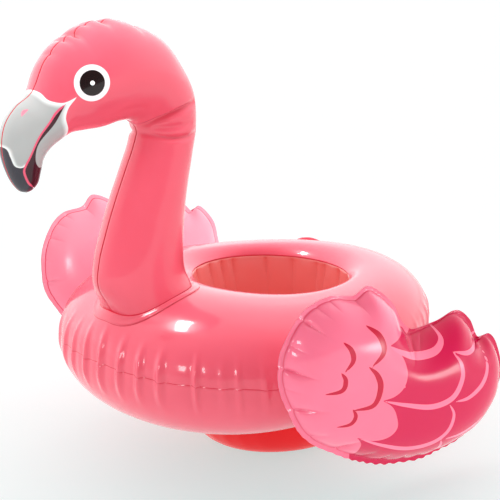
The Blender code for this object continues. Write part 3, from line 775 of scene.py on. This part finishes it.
# Where the weld is creased: place along the outline, share of the swell that is cut
# away, half width and reach in mm.
WING_CREASES = (
    (0.95, 0.5, 1.0, 3), (2.05, 0.4, 1.0, 3), (2.6, 0.4, 1.0, 3.5), (3.25, 0.8, 1.1, 5),
    (4.05, 0.35, 1.2, 3.5), (4.85, 0.85, 1.2, 6), (5.6, 0.3, 1.3, 3.5), (6.3, 0.8, 1.2, 6.5),
    (7.1, 0.35, 1.3, 4), (7.95, 0.8, 1.2, 5.5), (8.7, 0.5, 1.2, 4), (9.25, 0.45, 1.1, 4),
    (9.8, 0.35, 1.2, 4), (10.3, 0.45, 1.1, 4), (10.9, 0.4, 1.2, 4), (11.6, 0.25, 1.3, 4),
    (12.6, 0.2, 1.4, 4), (13.7, 0.2, 1.4, 4), (16.7, 0.4, 1.5, 5), (20.5, 0.3, 1.2, 6),
    (21.0, 0.35, 1.2, 7), (21.5, 0.3, 1.2, 6))

OUTLINE_STEPS = 40
outline = smooth(WING_OUTLINE, OUTLINE_STEPS, closed=True)
outline_steps = np.linalg.norm(np.roll(outline, -1, 0) - outline, axis=1)
outline_length = outline_steps.sum()
outline_place = np.concatenate(((0,), np.cumsum(outline_steps)[:-1]))
ruffle = np.interp(np.arange(len(outline)) / OUTLINE_STEPS,
                   (0, 8, 8.8, 11.2, 12.2, 24), (0.0, 0.1, 0.45, 0.45, 0.0, 0.0))
outline_ruffle = ruffle * np.sin(outline_place + np.sin(outline_place / 9))


def creases(spoke_gap):
    """Share of the swell that the creases cut away, that far in from the weld."""
    total = np.zeros_like(spoke_gap)
    for where, depth, width, reach in WING_CREASES:
        spot = np.interp(where * OUTLINE_STEPS, np.arange(len(outline)), outline_place)
        gap = (outline_place - spot + outline_length / 2) % outline_length
        gap = np.abs(gap - outline_length / 2)
        spread = width * (1 + spoke_gap / reach)
        total += depth * np.exp(-gap / spread) * np.exp(-(spoke_gap / reach) ** 2)
    return np.minimum(total, 0.85)


notch = 2.6 * creases(np.zeros_like(outline_place))
spokes = outline - WING_MIDDLE
lengths = np.linalg.norm(spokes, axis=1)[:, None]
weld_spokes = spokes * (1 - (WING_BORDER + 0.55 * notch[:, None]) / lengths)
edge_spokes = spokes * (1 + (outline_ruffle[:, None] - 0.12 * notch[:, None]) / lengths)


# Rows from the weld (share 1) to the middle, closer together at the weld.
SPOKE_SHARES = np.concatenate((
    1 - np.array((0.6, 1.3, 2.1, 3.0, 4.0, 5.0, 6.1, 7.3, 8.6, 10, 11.5, 13)) / 60,
    np.linspace(0.765, 0.02, 44)))
weld_edge = WING_MIDDLE + weld_spokes
weld_steps = np.linalg.norm(np.roll(weld_edge, -1, 0) - weld_edge, axis=1)
spoke_gaps = (1 - SPOKE_SHARES)[:, None] * np.linalg.norm(weld_spokes, axis=1)
# Blown-up film stands highest where it is far from the weld all round, as in any pillow.
room = []
for share in SPOKE_SHARES:
    flat = WING_MIDDLE + weld_spokes * share
    gap = ((flat[:, None] - weld_edge[None]) ** 2).sum(2)
    room.append(np.sqrt(2 / (weld_steps / np.maximum(gap, 0.01) ** 1.5).sum(1)))
room = np.array(room)
fullness = np.sin(math.pi / 2 * (room / room.max()) ** 0.7)


def wing_grid(bulge, facing):
    """Places of one panel in the wing's own plane: out, rearward and up, in mm."""
    rows = []
    border_wave = 0.35 * np.sin(outline_place / 4.1) + 0.25 * notch
    for share in (1.0, 0.5, 0.0):
        flat = weld_spokes * (1 - share) + edge_spokes * share
        out = facing * 0.2 + border_wave * (0.3 + 0.7 * share)
        rows.append(np.concatenate(((WING_STANDOFF + out)[:, None],
                                    WING_MIDDLE + flat), 1))
    for share, gap, full in zip(SPOKE_SHARES, spoke_gaps, fullness):
        swell = bulge * full * (1 - creases(gap))
        out = WING_STANDOFF + border_wave * 0.3 * fade(gap, 6) + facing * swell
        rows.append(np.concatenate((out[:, None],
                                    WING_MIDDLE + weld_spokes * share), 1))
    return np.array(rows)


FEATHER_SCALLOPS = (
    ((42, 60), (38, 24), (33, 27.5), (27, 28), (20, 27.5), (13, 27)),
    ((13, 27), (19, 22.5), (23, 16), (24, 8), (21, 1), (15, -2.5), (7, -3)),
    ((7, -3), (13, -8), (16, -14), (17, -22), (12, -27), (3, -27.5), (-7, -23)),
    ((-7, -23), (-3, -28.5), (-2, -34), (-2, -41), (-4, -60)))
DARK_STROKES = (
    (((-16, 36), (-12, 31), (-11.5, 25), (-17, 19.5)), 3.2),
    (((-19, 20), (-16.5, 15), (-18.5, 9.5), (-28, 8.5)), 3.0),
    (((0, 41), (7, 34), (8.5, 25), (0, 18.5)), 3.8),
    (((-2, 19.5), (3.5, 13), (5.5, 5), (1, -4), (-12, -4)), 3.8),
    (((-12, -3), (-10, -8), (-12.5, -12.5), (-20, -13.5)), 2.6))
PALE_STROKES = (
    (((13, 27), (21, 21), (33, 14.5), (46, 13.5), (53.5, 18), (53, 25)), 3.6),
    (((57, 12), (61.5, 4), (61, -5), (54, -14), (40, -15.5), (22, -9.5), (7, -3)), 3.6),
    (((52, -17), (55.5, -25), (52, -35), (42, -40), (26, -39), (8, -31.5), (-7, -23)), 3.2),
    (((58, 11.5), (68, 8.5), (78, 9.5), (87, 13)), 3.0),
    (((56, -17), (66, -17), (76, -12), (82, -4), (84, 6)), 3.0),
    (((50, -40), (64, -41), (74, -38.5), (84, -33)), 2.4),
    (((49, -40), (51, -46), (50, -54)), 2.0))

wing_film, tree, base, shader = pvc_film("printed_wing_pvc_film", "EE86A0", "EA7C98")
ink = printed(tree, base, "weld", "E0607E")
ink = printed(tree, ink, "hot_pink", "D20654")
ink = printed(tree, ink, "dark_strokes", "C8003C")
ink = printed(tree, ink, "pale_strokes", "F08AA6")
ink_and_painted_glow(tree, shader, ink)
# The inner panels' film is paler than the ring's plain pink: painted light, which lightens the far wing's
# inner side.
painted_light_pale_film, tree, base, shader = pvc_film("pale_pink_pvc_film_calendered",
                                         "F4B4C4", "F0AABC")
ink_and_painted_glow(tree, shader, printed(tree, base, "weld", "DC5474"))

hot_edge = np.concatenate((joined(FEATHER_SCALLOPS), ((-4, -80), (130, -80), (130, 60))))
wing_root = outer_skin(np.radians([WING_ANGLE]), seam_rise(np.radians([WING_ANGLE])))[0]
for side, word, lift, pitch in ((1, "left", 0.0, 0.0),
                                (-1, "right", RIGHT_WING_LIFT, RIGHT_WING_PITCH)):
    turned = Euler((math.radians(pitch), side * math.radians(WING_FLARE),
                    side * math.radians(WING_YAW))).to_matrix()
    root = np.array((side * wing_root[0], wing_root[1], wing_root[2]))
    for layer, bulge, facing in (("outer", OUTER_BULGE, 1), ("inner", INNER_BULGE, -1)):
        grid = wing_grid(bulge, facing)
        local = grid * (side, 1, 1) + (0, 0, lift)
        placed = local / 1000 @ np.array(turned).T + root
        if side * facing < 0:
            placed, grid = placed[:, ::-1], grid[:, ::-1]
        piece = film_piece(word + "_wing_" + layer + "_skin", placed,
                           tip=tuple(placed[-1].mean(0)))
        flat = grid[..., 1:].reshape(-1, 2)
        flat = np.concatenate((flat, flat[-1:]))
        weld_mark(piece, grid, [2], 0.15, -0.5, (-1.0,))
        if layer == "outer":
            piece.data.materials.append(wing_film)
            mark(piece, "hot_pink", area_print(flat, hot_edge))
            mark(piece, "dark_strokes", np.max(
                [line_print(flat, points, wide) for points, wide in DARK_STROKES], 0))
            mark(piece, "pale_strokes", np.max(
                [line_print(flat, points, wide) for points, wide in PALE_STROKES], 0))
        else:
            piece.data.materials.append(painted_light_pale_film)
        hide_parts(word + "_wing_" + layer + "_panel")
        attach(piece, word + "_wing")

# ---------------------------------------------------------------------------------
# Wing patches and valve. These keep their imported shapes. The patches are scraps of
# the ring's film that weld each wing on. The valve is injection-moulded soft PVC,
# thicker than the film, so light sinks further in and its edges glow.
# They carry no weld marks, so their films have no weld ink in them.
# ---------------------------------------------------------------------------------

for node in ("left_wing_root_patch", "right_wing_root_patch"):
    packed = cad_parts[node]
    packed.data.materials.clear()
    packed.data.materials.append(plain_film(node + "_pvc_film", "E36A7E", "DF6075")[0])
moulded, shader = plain_film("soft_pvc_moulded_valve", "F2899B", "EF7B90", 0.35)
shader.inputs["Subsurface Scale"].default_value = 0.004
for node in ("valve_collar", "valve_stem", "valve_plug", "valve_flap", "valve_strap"):
    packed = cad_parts[node]
    packed.data.materials.clear()
    packed.data.materials.append(moulded)

# ---------------------------------------------------------------------------------
# Studio. A pale sweep under the float, and bright surroundings that the film's gloss
# picks up along its edges. Small soft boxes make the highlights. Large ones, which the
# gloss doesn't show, fill in shade. Each is screened so as to reach only some pieces.
# ---------------------------------------------------------------------------------

mesh = bpy.data.meshes.new("studio_floor")
mesh.from_pydata([(-6, -6, -0.0005), (6, -6, -0.0005), (6, 6, -0.0005), (-6, 6, -0.0005)],
                 [], [(0, 1, 2, 3)])
ground = bpy.data.objects.new("studio_floor", mesh)
bpy.context.scene.collection.objects.link(ground)
# The paper is tinted and gives off the opposite tint, so that the two make a pale grey
# and the pink that the float throws on it doesn't show.
paper = bpy.data.materials.new("white_paper_sweep")
paper.use_nodes = True
paper.node_tree.nodes.clear()
sheet = add(paper.node_tree, "BsdfPrincipled", {
    "Base Color": linear("E7BDC0"), "Roughness": 0.9, "Specular IOR Level": 0.1,
    "Emission Color": linear("8EC2BF"), "Emission Strength": 1.08})
add(paper.node_tree, "OutputMaterial", {"Surface": sheet.outputs["BSDF"]})
mesh.materials.append(paper)
ground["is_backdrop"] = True

world = bpy.data.worlds.new("studio_surround")
world.use_nodes = True
tree = world.node_tree
tree.nodes.clear()
heading = add(tree, "TexCoord", {}).outputs["Generated"]
front = add(tree, "VectorMath", {0: heading, 1: (0.76, -0.58, 0.29)},
            operation="DOT_PRODUCT").outputs["Value"]
strength = add(tree, "MapRange", {"Value": front, "From Min": -0.25, "From Max": 0.83,
                                  "To Min": 1.42, "To Max": 0.22},
               interpolation_type="SMOOTHSTEP").outputs["Result"]
surround = add(tree, "Background", {"Color": linear("FFFFFF"), "Strength": strength})
add(tree, "OutputWorld", {"Surface": surround.outputs["Background"]})
bpy.context.scene.world = world

FLOAT_MIDDLE = Vector((0, -0.02, 0.1))


def soft_box(name, direction, distance, width, height, power, onto, glossy=True):
    """A rectangular studio light, screened so as to reach only some pieces."""
    lamp = bpy.data.lights.new(name, "AREA")
    lamp.shape = "RECTANGLE"
    lamp.size = width
    lamp.size_y = height
    lamp.energy = power
    fixture = bpy.data.objects.new(name, lamp)
    toward = Vector(direction).normalized()
    fixture.location = FLOAT_MIDDLE + toward * distance
    fixture.rotation_euler = toward.to_track_quat("Z", "Y").to_euler()
    bpy.context.scene.collection.objects.link(fixture)
    fixture.visible_glossy = glossy
    reached = bpy.data.collections.new(name + "_reach")
    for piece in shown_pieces():
        if piece.name.startswith(onto):
            reached.objects.link(piece)
    fixture.light_linking.receiver_collection = reached
    fixture.light_linking.blocker_collection = reached


soft_box("overhead_box", (-0.3775, -0.1702, 0.9102), 1.296, 0.36, 0.12, 6.0, ("ring", "neck_skirt"))
soft_box("ring_box", (-0.3, 0.5, 0.8), 1.4, 1.2, 1.2, 6.0, ("ring", "neck_skirt"), False)
soft_box("head_box", (0.3, -0.3, 0.9), 1.3, 1.2, 1.2, 15.0, ("neck_left", "neck_right"), False)
soft_box("front_box", (0.17, -0.91, 0.27), 1.3, 0.25, 0.25, 2.5, ("left_wing", "ring_upper", "ring_lower"))
soft_box("wing_box", (0.85, 0.44, -0.14), 1.4, 0.3, 0.1, 4.5, ("left_wing", "right_wing"))

CAMERA_TURN = math.radians(52.53)
CAMERA_RISE = math.radians(17.01)
CAMERA_ROLL = math.radians(-3.83)
CAMERA_DISTANCE = 0.9812
CAMERA_TARGET = Vector((0.0032, -0.0169, 0.1189))
back = Vector((math.sin(CAMERA_TURN) * math.cos(CAMERA_RISE),
               -math.cos(CAMERA_TURN) * math.cos(CAMERA_RISE), math.sin(CAMERA_RISE)))
level = Vector((math.cos(CAMERA_TURN), math.sin(CAMERA_TURN), 0))
upright = back.cross(level)
across = level * math.cos(CAMERA_ROLL) + upright * math.sin(CAMERA_ROLL)
upright = upright * math.cos(CAMERA_ROLL) - level * math.sin(CAMERA_ROLL)
lens = bpy.data.cameras.new("camera")
lens.lens = 117.74
lens.sensor_width = 36.0
camera = bpy.data.objects.new("camera", lens)
facing = Matrix((across, upright, back)).transposed().to_4x4()
camera.matrix_world = Matrix.Translation(CAMERA_TARGET + back * CAMERA_DISTANCE) @ facing
bpy.context.scene.collection.objects.link(camera)
bpy.context.scene.camera = camera
bpy.context.scene.view_settings.view_transform = "Standard"

bpy.context.view_layer.update()
